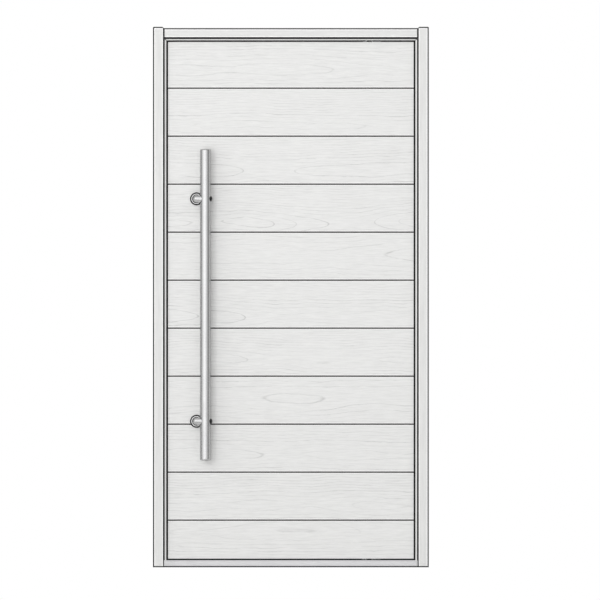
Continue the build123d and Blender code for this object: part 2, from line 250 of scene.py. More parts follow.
@dataclass(frozen=True)
class Finish:
    """A surface with a name, a colour and a gloss. Each kind of finish adds its own pattern."""

    name: str
    colour: str
    roughness: float
    metallic: float = 0.0
    patches: tuple[Patch, ...] = ()
    edge_tint: str | None = None
    shade: str = "101010"
    gloss_swing: float = 0.05
    levels: tuple[float, float] = (0.3, 0.7)
    depth: float = 0.05 * MM
    relief: float = 0.5

    def material(self) -> Material:
        """Makes the material, with the finish's pattern on it."""
        made = bpy.data.materials.new(self.name)
        made.use_nodes = True
        tree = made.node_tree
        shader = tree.nodes["Principled BSDF"]
        shader.inputs["Base Color"].default_value = linear(self.colour)
        shader.inputs["Roughness"].default_value = self.roughness
        shader.inputs["Metallic"].default_value = self.metallic
        if self.edge_tint:
            shader.inputs["Specular Tint"].default_value = linear(self.edge_tint)
        tone, gloss, height = self.pattern(tree, add(tree, "TexCoord").outputs["Object"])
        bump = add(tree, "Bump", {"Height": height, "Distance": self.depth, "Strength": self.relief})
        for socket, node in (("Base Color", tone), ("Roughness", gloss), ("Normal", bump)):
            tree.links.new(node.outputs[0], shader.inputs[socket])
        return made

    def pattern(self, tree: NodeTree, place: NodeSocket) -> Look:
        """Adds what the eye sees in the surface.

        Args:
            tree: The material's nodes.
            place: The point in the model's frame.

        Returns:
            The nodes with the colour, the roughness and the height.
        """
        raise NotImplementedError

    def toned(self, tree: NodeTree, mixed: Node, place: NodeSocket) -> tuple[Node, Node]:
        """Goes from the shade to the colour as a noise rises, and lays the patches over that.

        Args:
            tree: The material's nodes.
            mixed: The noise.
            place: The point in the model's frame.

        Returns:
            The nodes with the noise's level, from 0 to 1, and with the colour.
        """
        level = add(tree, "MapRange", (mixed, *self.levels))
        tone = add(tree, "MixRGB", (level, linear(self.shade), linear(self.colour)))
        return level, self.patched(tree, tone, place)

    def glossed(self, tree: NodeTree, level: Node, sign: int = 1) -> Node:
        """Lets the roughness follow a level.

        Args:
            tree: The material's nodes.
            level: The level.
            sign: 1 where a high level is rougher, and -1 where it is smoother.

        Returns:
            The node with the roughness.
        """
        swing = sign * self.gloss_swing
        return add(tree, "MapRange", {0: level, 3: self.roughness - swing, 4: self.roughness + swing})

    def patched(self, tree: NodeTree, tone: Node, place: NodeSocket) -> Node:
        """Lays the patches' colours over a tone, one after the other.

        Args:
            tree: The material's nodes.
            tone: The colour where there is no patch.
            place: The point in the model's frame.

        Returns:
            The node with the final colour.
        """
        if not self.patches:
            return tone
        own = add(tree, "SeparateXYZ", (place,))
        width = add(tree, "Math.ABSOLUTE", (own.outputs[0],))
        point = add(tree, "CombineXYZ", (width, own.outputs[1], own.outputs[2]))
        for patch in self.patches:
            inside = patch.places[0].test(tree, point)
            for extra in patch.places[1:]:
                inside = add(tree, "Math.MAXIMUM", (inside, extra.test(tree, point)))
            tone = add(tree, "MixRGB", (inside, tone, linear(patch.colour)))
        return tone


@dataclass(frozen=True)
class SatinPaint(Finish):
    """Sprayed satin paint on planed timber: the wood's run just shows through as faint long streaks.

    A streak is some 110 mm long and 9 mm wide. A fleck of the sprayed skin is 2.4 mm, coarser than the
    real one so that it shows.
    """

    run: Run = Run.UPRIGHT
    streaks: float = 9.0
    flecks: float = 420.0
    fleck_share: float = 0.4
    shade: str = "DDDDDC"
    gloss_swing: float = 0.06
    levels: tuple[float, float] = (0.35, 0.65)
    gloss_levels: tuple[float, float] = (0.3, 0.7)
    relief: float = 0.6

    def pattern(self, tree: NodeTree, place: NodeSocket) -> Look:
        """Adds streaks along the timber and the fine skin of the paint.

        Args:
            tree: The material's nodes.
            place: The point in the model's frame.

        Returns:
            The nodes with the colour, the roughness and the height.
        """
        drawn = add(tree, "VectorMath.MULTIPLY", (place, self.run.value))
        streaks = add(tree, "TexNoise", {"Vector": drawn, "Scale": self.streaks, "Detail": 5.0})
        skin = add(tree, "TexNoise", {"Vector": place, "Scale": self.flecks, "Detail": 2.0})
        both = add(tree, "MixRGB", (self.fleck_share, streaks, skin))
        _, tone = self.toned(tree, both, place)
        low, high = self.roughness - self.gloss_swing, self.roughness + self.gloss_swing
        gloss = add(tree, "MapRange", (both, *self.gloss_levels, low, high))
        return tone, gloss, both


@dataclass(frozen=True)
class BoardCut:
    """Where the heart of the tree lies behind one board: it draws the arches and loops on the face."""

    heart: float
    depth: float
    swell: float
    seed: float


@dataclass(frozen=True)
class LyedBoard(Finish):
    """Flat-sawn boards, brushed, lyed and oiled white: growth rings stay as thin grey lines on near white.

    A ring is 10.5 mm and a fibre 5 mm, both coarser than in real wood, because finer ones don't show.
    """

    cut: BoardCut | None = None
    line: str = "9A9A99"
    # Colour of the painted highlight on the chamfered edges beside each joint
    edge: str = "FEFEFD"
    ring: float = 10.5 * MM
    line_half: float = 1.9 * MM
    least_slope: float = 0.22
    line_weight: float = 0.72
    fibre_weight: float = 0.17
    least_heart: float = 30.0 * MM
    heart_swing: float = 40.0 * MM
    depths: tuple[float, float] = (40.0 * MM, 25.0 * MM)
    swells: tuple[float, float] = (30.0 * MM, 30.0 * MM)
    seed_step: float = 3.7
    ring_step: float = 31.0
    wander_scale: float = 1.7
    wander: float = 28.0 * MM
    swell_scale: float = 2.1
    swell_reach: float = 1.3
    swell_shift: float = 5.0
    ripples: tuple[float, float] = (11.0, 24.0)
    ripple: float = 9.0 * MM
    breaks: tuple[float, float] = (0.4, 0.62)
    faint_ring: float = 0.3
    faint_line: float = 0.12
    fades: tuple[float, float] = (50.0 * MM, 120.0 * MM)
    faded: float = 0.45
    fibres: tuple[float, float] = (15.0, 190.0)
    fibre_levels: tuple[float, float] = (0.34, 0.7)
    first_joint: float = 0.0
    pitch: float = 0.2
    face: float = 34.0 * MM
    stain: str = "1C1C1D"
    stain_from: float = 0.5 * MM
    edge_highlight_band: tuple[float, float] = (4.0 * MM, 7.0 * MM)
    edge_highlight_weight: float = 0.8
    line_matt: float = 0.15
    depth: float = 0.35 * MM

    def sawn(self, tree: NodeTree, board: Node) -> tuple[Feed, Feed, Feed, Feed]:
        """Gives a board's cut: its own, or one drawn by its number where one node holds all boards.

        Args:
            tree: The material's nodes.
            board: The board's number and the part of it that lies below the point.

        Returns:
            The heart's height, depth and swell, and the seed.
        """
        if self.cut:
            return self.cut.heart, self.cut.depth, self.cut.swell, self.cut.seed
        number = add(tree, "Math.FLOOR", (board,))
        draw = add(tree, "TexWhiteNoise", {"W": number}, noise_dimensions="1D").outputs["Color"]
        drawn = add(tree, "SeparateColor", (draw,))
        low = add(tree, "Math.MULTIPLY_ADD", (number, self.pitch, self.first_joint))
        heart = add(tree, "Math.MULTIPLY_ADD", (drawn.outputs[0], self.heart_swing, low))
        heart = add(tree, "Math.ADD", (heart, self.least_heart))
        depth = add(tree, "Math.MULTIPLY_ADD", (drawn.outputs[1], *self.depths))
        swell = add(tree, "Math.MULTIPLY_ADD", (drawn.outputs[2], *self.swells))
        return heart, depth, swell, number

    def stretched(self, tree: NodeTree, point: tuple[Feed, Feed, Feed], scales: tuple[float, float]) -> Node:
        """Gives a point for a noise that is drawn out along the board.

        Args:
            tree: The material's nodes.
            point: The way along the board, the board's shift and the height.
            scales: How dense the noise is along and across the board.

        Returns:
            The node with the point.
        """
        long = add(tree, "Math.MULTIPLY", (point[0], scales[0]))
        short = add(tree, "Math.MULTIPLY", (point[2], scales[1]))
        return add(tree, "CombineXYZ", (long, point[1], short))

    def from_half(self, tree: NodeTree, value: Node) -> Node:
        """Gives how far the fraction of a value is from a half.

        Args:
            tree: The material's nodes.
            value: The value.

        Returns:
            The distance, from 0 to 0.5.
        """
        part = add(tree, "Math.FRACT", (value,))
        part = add(tree, "Math.SUBTRACT", (part, 0.5))
        return add(tree, "Math.ABSOLUTE", (part,))

    def swung(self, tree: NodeTree, noise: Node, reach: float) -> Node:
        """Spreads a noise from 0 to 1 over a reach to both sides of zero.

        Args:
            tree: The material's nodes.
            noise: The noise.
            reach: How far it goes to either side.

        Returns:
            The spread noise.
        """
        return add(tree, "MapRange", (noise, 0.0, 1.0, -reach, reach), clamp=False)

    def pattern(self, tree: NodeTree, place: NodeSocket) -> Look:
        """Adds growth rings, fibres, a painted highlight on the chamfered edges and the near-black stain in
        the joints.

        Args:
            tree: The material's nodes.
            place: The point in the model's frame.

        Returns:
            The nodes with the colour, the roughness and the height.
        """
        x, y, z = add(tree, "SeparateXYZ", (place,)).outputs
        above_first = add(tree, "Math.SUBTRACT", (z, self.first_joint))
        board = add(tree, "Math.DIVIDE", (above_first, self.pitch))
        heart, depth, swell, seed = self.sawn(tree, board)
        shift = add(tree, "Math.MULTIPLY", (seed, self.seed_step))

        # The heart wanders up and down and comes nearer and farther along the board
        along = add(tree, "CombineXYZ", (x, shift))
        wander = add(tree, "TexNoise", {"Vector": along, "Scale": self.wander_scale, "Detail": 1.0})
        wander = self.swung(tree, wander, self.wander)
        away = add(tree, "CombineXYZ", (x, shift, self.swell_shift))
        nearer = add(tree, "TexNoise", {"Vector": away, "Scale": self.swell_scale, "Detail": 0.6})
        nearer = self.swung(tree, nearer, self.swell_reach)
        behind = add(tree, "Math.MULTIPLY_ADD", (nearer, swell, depth))

        # Small ripples, drawn out along the board
        rippled = self.stretched(tree, (x, shift, z), self.ripples)
        ripple = add(tree, "TexNoise", {"Vector": rippled, "Scale": 1.0, "Detail": 3.0})
        ripple = self.swung(tree, ripple, self.ripple)

        # How far the point is from the heart, in rings
        above = add(tree, "Math.SUBTRACT", (z, heart))
        above = add(tree, "Math.SUBTRACT", (above, wander))
        above = add(tree, "Math.ADD", (above, ripple))
        from_middle = add(tree, "Math.ABSOLUTE", (y,))
        inward = add(tree, "Math.SUBTRACT", (from_middle, self.face))
        behind = add(tree, "Math.ADD", (behind, inward))
        from_heart = add(tree, "CombineXYZ", (behind, above))
        radius = add(tree, "VectorMath.LENGTH", (from_heart,)).outputs["Value"]
        rings = add(tree, "Math.MULTIPLY_ADD", (radius, 1 / self.ring, 0.5))
        number = add(tree, "Math.FLOOR", (rings,))
        off = self.from_half(tree, rings)

        # A ring's line is equally thin wherever the board cuts it, except at the tip of an arch
        reach = add(tree, "Math.ABSOLUTE", (above,))
        slope = add(tree, "Math.DIVIDE", (reach, radius))
        slope = add(tree, "Math.MAXIMUM", (slope, self.least_slope))
        away = add(tree, "Math.DIVIDE", (off, slope))
        late = add(tree, "MapRange", (away, 0.0, self.line_half / self.ring, 1.0, 0.0))

        # Some rings are faint, and a line comes and goes along its length and fades far from the heart
        own = add(tree, "Math.MULTIPLY_ADD", (seed, self.ring_step, number))
        own = add(tree, "TexWhiteNoise", {"W": own}, noise_dimensions="1D").outputs["Value"]
        own = add(tree, "MapRange", {0: own, 3: self.faint_ring, 4: 1.0})
        broken = add(tree, "TexNoise", {"Vector": rippled, "Scale": 0.5, "Detail": 5.0, "Roughness": 0.75})
        broken = add(tree, "MapRange", (broken, *self.breaks, self.faint_line, 1.0))
        fade = add(tree, "MapRange", (reach, *self.fades, 1.0, self.faded))
        strength = add(tree, "Math.MULTIPLY", (broken, fade))
        strength = add(tree, "Math.MULTIPLY", (strength, own))
        lines = add(tree, "Math.MULTIPLY", (late, strength))

        # Fibres: short fine streaks over the whole face
        fine = self.stretched(tree, (x, shift, z), self.fibres)
        fibres = add(tree, "TexNoise", {"Vector": fine, "Scale": 1.0, "Detail": 3.0, "Roughness": 0.7})
        fibres = add(tree, "MapRange", (fibres, *self.fibre_levels))
        weight = add(tree, "Math.MULTIPLY", (lines, self.line_weight))
        weight = add(tree, "Math.MULTIPLY_ADD", (fibres, self.fibre_weight, weight))
        tone = add(tree, "MixRGB", (weight, linear(self.colour), linear(self.line)))

        # Beside a joint the chamfered edges get a painted highlight, and the joint itself is stained near
        # black
        middle = add(tree, "Math.ADD", (board, 0.5))
        joint = add(tree, "Math.MULTIPLY", (self.from_half(tree, middle), self.pitch))
        edge_highlight_band = add(tree, "MapRange", (joint, *self.edge_highlight_band, self.edge_highlight_weight, 0.0))
        tone = add(tree, "MixRGB", (edge_highlight_band, tone, linear(self.edge)))
        stained = add(tree, "Math.LESS_THAN", (inward, -self.stain_from))
        tone = add(tree, "MixRGB", (stained, tone, linear(self.stain)))
        gloss = add(tree, "MapRange", {0: weight, 3: self.roughness, 4: self.roughness + self.line_matt})
        return tone, gloss, add(tree, "Math.SUBTRACT", (1.0, weight))


@dataclass(frozen=True)
class DrawnMetal(Finish):
    """Metal with fine lines along its run from brushing or drawing, which soften and draw out reflections.

    The lines are 0.5 to 2 mm apart, coarser than a brush leaves them, because finer ones don't show.
    """

    run: Run = Run.UPRIGHT
    lines: float = 60.0
    shade: str = "8F8F90"
    gloss_swing: float = 0.06
    clouds: float = 14.0
    cloud_share: float = 0.35
    depth: float = 0.02 * MM

    def pattern(self, tree: NodeTree, place: NodeSocket) -> Look:
        """Adds the drawn lines and a few cloudy patches of handling.

        Args:
            tree: The material's nodes.
            place: The point in the model's frame.

        Returns:
            The nodes with the colour, the roughness and the height.
        """
        drawn = add(tree, "VectorMath.MULTIPLY", (place, self.run.value))
        hair = add(tree, "TexNoise", {"Vector": drawn, "Scale": self.lines, "Detail": 4.0, "Roughness": 0.7})
        cloud = add(tree, "TexNoise", {"Vector": place, "Scale": self.clouds, "Detail": 3.0})
        both = add(tree, "MixRGB", (self.cloud_share, hair, cloud))
        level, tone = self.toned(tree, both, place)
        return tone, self.glossed(tree, level, -1), hair


@dataclass(frozen=True)
class Grained(Finish):
    """A moulded or pressed surface with an even grain, such as rubber, plastic or fibreboard.

    A grain is 0.7 mm or more, as coarse as it has to be to show. Dust lies in patches 30 times as wide.
    """

    grain: float = 900.0
    dust: float = 30.0
    relief: float = 0.4

    def pattern(self, tree: NodeTree, place: NodeSocket) -> Look:
        """Adds the grain and some dust in it.

        Args:
            tree: The material's nodes.
            place: The point in the model's frame.

        Returns:
            The nodes with the colour, the roughness and the height.
        """
        grain = add(tree, "TexNoise", {"Vector": place, "Scale": self.grain, "Detail": 3.0})
        dust = add(tree, "TexNoise", {"Vector": place, "Scale": self.grain / self.dust, "Detail": 2.0})
        both = add(tree, "MixRGB", (0.5, grain, dust))
        level, tone = self.toned(tree, both, place)
        return tone, self.glossed(tree, level), grain


# Modelling


def pick(pieces: list[Object]) -> None:
    """Selects the pieces alone, with the first one active."""
    bpy.ops.object.select_all(action="DESELECT")
    for piece in pieces:
        piece.select_set(True)
    bpy.context.view_layer.objects.active = pieces[0]


def named(name: str) -> Object:
    """Names the active piece and its mesh, and gives it back."""
    made = bpy.context.object
    made.name = name
    made.data.name = name
    return made


def seat() -> None:
    """Puts the active piece's place, turn and scale into its mesh."""
    bpy.ops.object.transform_apply(location=True, rotation=True, scale=True)


def facing(axis: int, sign: int = 1) -> Callable[[MeshPolygon], bool]:
    """Picks the many-sided end faces that look along an axis.

    Args:
        axis: The axis's number.
        sign: 1 forwards and -1 backwards.

    Returns:
        A test of a face.
    """
    straight = 0.9
    return lambda face: face.normal[axis] * sign > straight and len(face.vertices) > 4


def beyond(piece: Object, axis: int, level: float = 0.0) -> Callable[[MeshEdge], bool]:
    """Picks the edges with both ends past a level on an axis of the mesh.

    Args:
        piece: The object.
        axis: The axis's number.
        level: The coordinate that both ends are over.

    Returns:
        A test of an edge.
    """
    return lambda edge: all(piece.data.vertices[index].co[axis] > level for index in edge.vertices)


def start(name: str, primitive: Callable[..., Any], **options: Any) -> Object:
    """Adds a primitive as the start of a piece.

    Args:
        name: The piece's name.
        primitive: The operator that adds it.
        **options: Its size and place.

    Returns:
        The new object, alone selected and active.
    """
    bpy.ops.object.select_all(action="DESELECT")
    primitive(**options)
    return named(name)


def shape(
    piece: Object,
    part: Part,
    chosen: Callable[[Any], bool],
    step: Callable[..., Any],
    **options: Any,
) -> None:
    """Picks parts of a mesh in code and runs one editing step on them.

    Args:
        piece: The object to edit.
        part: The kind of part that is picked.
        chosen: Tells for a face, edge or vertex whether it is picked.
        step: The editing operator.
        **options: What the operator is told.
    """
    bpy.context.view_layer.objects.active = piece
    bpy.ops.object.mode_set(mode="EDIT")
    bpy.ops.mesh.select_mode(type=part.value)
    bpy.ops.mesh.select_all(action="DESELECT")
    bpy.ops.object.mode_set(mode="OBJECT")
    mesh = piece.data
    lists = {Part.FACES: mesh.polygons, Part.EDGES: mesh.edges, Part.VERTICES: mesh.vertices}
    for item in lists[part]:
        item.select = chosen(item)
    bpy.ops.object.mode_set(mode="EDIT")
    step(**options)
    bpy.ops.object.mode_set(mode="OBJECT")


def settle(piece: Object, angle: float = 35.0) -> Object:
    """Finishes a piece: its place goes into its mesh, faces point outwards and soft edges are smoothed.

    Args:
        piece: The object.
        angle: Edges flatter than this many degrees are smoothed.

    Returns:
        The same object.
    """
    pick([piece])
    seat()
    shape(piece, Part.FACES, lambda face: True, bpy.ops.mesh.normals_make_consistent, inside=False)
    bpy.ops.object.shade_smooth_by_angle(angle=math.radians(angle))
    return piece


def join(pieces: list[Object], name: str) -> Object:
    """Makes one piece of several.

    Args:
        pieces: The objects.
        name: The name of what comes of it.

    Returns:
        The joined object.
    """
    pick(pieces)
    bpy.ops.object.join()
    return named(name)


def cut(piece: Object, corner: Vector, away: Vector) -> None:
    """Cuts a piece off at a plane and leaves the cut open.

    Args:
        piece: The object, with its place in its mesh.
        corner: A point of the plane.
        away: The plane's normal, towards what is dropped.
    """
    shape(
        piece, Part.FACES, lambda face: True, bpy.ops.mesh.bisect,
        plane_co=corner, plane_no=away, clear_outer=True, threshold=0.01 * MM,
    )


def copied(piece: Object, name: str, shift: Vector) -> Object:
    """Copies a piece with its own mesh.

    Args:
        piece: The object.
        name: The copy's name.
        shift: How far the copy is moved.

    Returns:
        The copy, with its place in its mesh.
    """
    pick([piece])
    bpy.ops.object.duplicate(linked=False)
    made = named(name)
    made.location = shift
    seat()
    return made


def mirrored(piece: Object, name: str) -> Object:
    """Copies a piece of the outside to the inside of the leaf.

    Args:
        piece: The outer piece.
        name: The inner piece's name.

    Returns:
        The inner piece, with its faces outwards.
    """
    made = copied(piece, name, Vector())
    made.scale = (1.0, -1.0, 1.0)
    return settle(made)


def dress(piece: Object, material: Material) -> None:
    """Gives a piece one material on all its faces."""
    if not piece.material_slots:
        piece.data.materials.append(material)
    for slot in piece.material_slots:
        slot.material = material


def dress_nodes(names: Iterable[str], finish: Finish) -> None:
    """Makes a finish's material and gives it to CAD nodes."""
    material = finish.material()
    for name in names:
        dress(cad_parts[name], material)


# Sub-assemblies


@dataclass
class DoorFrame:
    """The frame round the leaf: jambs, head, beads, stops, threshold and seals."""

    reveal: float = 571.0 * MM
    opening: float = 560.0 * MM
    joint_half: float = 3.7 * MM
    head_under: float = 2379.0 * MM
    head_bead: float = 10.0 * MM
    head_joint_half: float = 4.5 * MM
    face: float = -50.0 * MM
    joint_depth: float = 8.0 * MM
    stop_front: float = 6.0 * MM
    lip: float = 2.7 * MM
    outline: float = 5.6 * MM
    highlight_width: float = 4.0 * MM
    skin: float = 2.0 * MM
    hairline: float = 3.0 * MM
    slack: float = 0.3 * MM
    uprights: tuple[str, ...] = (
        "jamb_left", "jamb_right", "bead_left", "bead_right", "stop_left", "stop_right",
    )
    crosses: tuple[str, ...] = ("head", "bead_head", "stop_head", "stop_head_heel", "stop_sill_heel")
    paint: str = "E7E7E6"
    # Painted highlight: near white beside the joints and along the outer and top edges, as light caught on
    # the rounded edges
    pale: str = "FAFAFA"
    # Near black for the joints, edges and mitre, and painted shade on the rebates round the leaf
    dark_lines_and_painted_shade: str = "1C1C1D"
    primer: str = "4A4A4B"

    def patches(self, top: float) -> tuple[Patch, ...]:
        """Gives the places where the paint has another colour.

        Args:
            top: The height of the piece's top.

        Returns:
            Painted highlights beside the joints and along the outer and top edges; near-black joints, outer,
            top and bottom edges and mitre hairlines, with painted shade on the rebates round the leaf; and
            the primed wall sides.
        """
        side = CAD_BOX[1].x
        near, far = self.face + self.slack, self.face + self.joint_depth + self.slack
        joint_in = self.reveal - self.joint_half - self.slack
        joint_out = self.reveal + self.joint_half + self.slack
        head_low = self.head_under - self.head_joint_half - self.slack
        head_high = self.head_under + self.head_joint_half + self.slack
        skin = self.face + self.skin
        edge = side - self.outline
        crest = top - self.outline
        mouth_top = self.head_under - self.head_bead
        # Painted shade: the rebates and stops that face the leaf's edges, inside this box, are coloured near
        # black as the shade in the slot round the leaf
        painted_shade_mouth = (self.opening + self.slack, self.stop_front + self.slack, mouth_top + self.slack)
        # Painted highlights: near-white strips on the front faces beside the joints and along the outer and
        # top edges
        highlight_strips = (
            Zone((joint_out, NEAR, NEAR), (joint_out + self.highlight_width, skin, FAR)),
            Zone((edge - self.highlight_width, NEAR, NEAR), (edge, skin, FAR)),
            Zone((NEAR, NEAR, head_high), (joint_in, skin, head_high + self.highlight_width)),
            Zone((NEAR, NEAR, crest - self.highlight_width), (side, skin, crest)),
        )
        # Near-black lines: the shadow joints, the outer, top and bottom edges and the mitre hairline; the
        # rebates facing the leaf are painted shade
        lines = (
            Zone((joint_in, near, NEAR), (joint_out, far, FAR)),
            Zone((NEAR, near, head_low), (joint_out, far, head_high)),
            Zone((NEAR, self.face + self.lip, NEAR), painted_shade_mouth),
            Zone((edge, NEAR, NEAR), (side + MM, BACK, FAR)),
            Zone((NEAR, NEAR, crest), (side + MM, BACK, FAR)),
            Zone((NEAR, NEAR, NEAR), (side + MM, BACK, self.outline)),
            Mitre((self.reveal, self.head_under), (self.opening, mouth_top), self.hairline),
        )
        walls = (
            Zone((side - self.slack, skin, NEAR), (side + MM, BACK, FAR)),
            Zone((NEAR, skin, top - self.slack), (side + MM, BACK, FAR)),
        )
        return Patch(self.pale, highlight_strips), Patch(self.dark_lines_and_painted_shade, lines), Patch(self.primer, walls)

    def build(self) -> None:
        """Dresses the frame's nodes."""
        upright = SatinPaint(
            "satin_paint_on_upright_timber", self.paint, roughness=0.42,
            patches=self.patches(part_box("jamb_left")[1].z),
        )
        across = replace(
            upright, name="satin_paint_on_cross_timber", run=Run.ACROSS,
            patches=self.patches(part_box("head")[1].z),
        )
        foot = Zone((NEAR, NEAR, NEAR), (CAD_BOX[1].x, BACK, self.outline))
        sill = DrawnMetal(
            "satin_anodised_aluminium_extrusion", "E8E8E9", roughness=0.5, metallic=0.4, run=Run.ACROSS,
            lines=45.0, shade="DADADC", patches=(Patch(self.dark_lines_and_painted_shade, (foot,)),),
        )
        dress_nodes(self.uprights, upright)
        dress_nodes(self.crosses, across)
        dress_nodes(["threshold"], sill)
        dress_nodes(["gaskets"], Grained("extruded_rubber_seal", "222223", roughness=0.75))
        report.info("frame: %d painted pieces, threshold and seals", len(self.uprights) + len(self.crosses))


@dataclass
class Leaf:
    """The turning leaf: boards on both faces, stiles, rails and core between them, and its seal."""

    board_colour: str = "ECECEB"
    tongue_gap: float = 2.0 * MM
    cuts: tuple[BoardCut, ...] = (
        BoardCut(120 * MM, 90 * MM, 14 * MM, 1.0),
        BoardCut(62 * MM, 56 * MM, 34 * MM, 2.0),
        BoardCut(78 * MM, 70 * MM, 16 * MM, 3.0),
        BoardCut(120 * MM, 130 * MM, 12 * MM, 4.0),
        BoardCut(64 * MM, 46 * MM, 24 * MM, 5.0),
        BoardCut(46 * MM, 58 * MM, 36 * MM, 6.0),
        BoardCut(110 * MM, 120 * MM, 14 * MM, 7.0),
        BoardCut(46 * MM, 40 * MM, 34 * MM, 8.0),
        BoardCut(60 * MM, 44 * MM, 26 * MM, 9.0),
        BoardCut(50 * MM, 42 * MM, 22 * MM, 10.0),
        BoardCut(84 * MM, 72 * MM, 16 * MM, 11.0),
    )
    hidden_edges: tuple[str, ...] = ("stile_lock", "stile_heel", "rail_bottom", "rail_top")

    def build(self) -> None:
        """Dresses the leaf's nodes, each outer board with its own cut of the tree."""
        lows = [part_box(f"board_out_{number:02d}")[0].z for number in range(1, len(self.cuts) + 1)]
        pitch = lows[2] - lows[1]
        first_joint = lows[1] - self.tongue_gap
        for number, board_cut in enumerate(self.cuts, start=1):
            placed = replace(board_cut, heart=lows[number - 1] + board_cut.heart)
            finish = LyedBoard(
                f"lyed_and_white_oiled_board_{number:02d}", self.board_colour, roughness=0.55, cut=placed,
                first_joint=first_joint, pitch=pitch,
            )
            dress_nodes([f"board_out_{number:02d}"], finish)
        dress_nodes(["boards_in"], replace(finish, name="lyed_and_white_oiled_inner_boards", cut=None))
        # Painted shade: the leaf's edges are coloured near black so the slot round the closed leaf reads as
        # deep shade; the same colour shows on the edges when the leaf stands open
        edge = SatinPaint("dark_paint_on_leaf_edges_as_painted_gap_shade", "2A2A2B", roughness=0.5, shade="222223")
        dress_nodes(self.hidden_edges, edge)
        fill = Grained("pressed_insulating_board", "B79F7C", roughness=0.9, shade="8E7A5E", grain=260.0)
        dress_nodes(["core"], fill)
        dress_nodes(["drop_seal"], Grained("extruded_rubber_drop_seal", "222223", roughness=0.75))
        report.info("leaf: %d outer boards, the inner boards, edges, core and seal", len(self.cuts))


@dataclass
class Pivots:
    """The floor pivot with its shoe, and the pin and socket at the top."""

    names: tuple[str, ...] = ("pivot_base", "pivot_shoe", "top_pin", "top_socket")

    def build(self) -> None:
        """Dresses the pivot's nodes in turned steel."""
        steel = DrawnMetal(
            "turned_and_blackened_steel", "303031", roughness=0.42, metallic=1.0, lines=90.0,
            shade="222223", run=Run.ACROSS,
        )
        dress_nodes(self.names, steel)
        report.info("pivots: %d turned pieces", len(self.names))


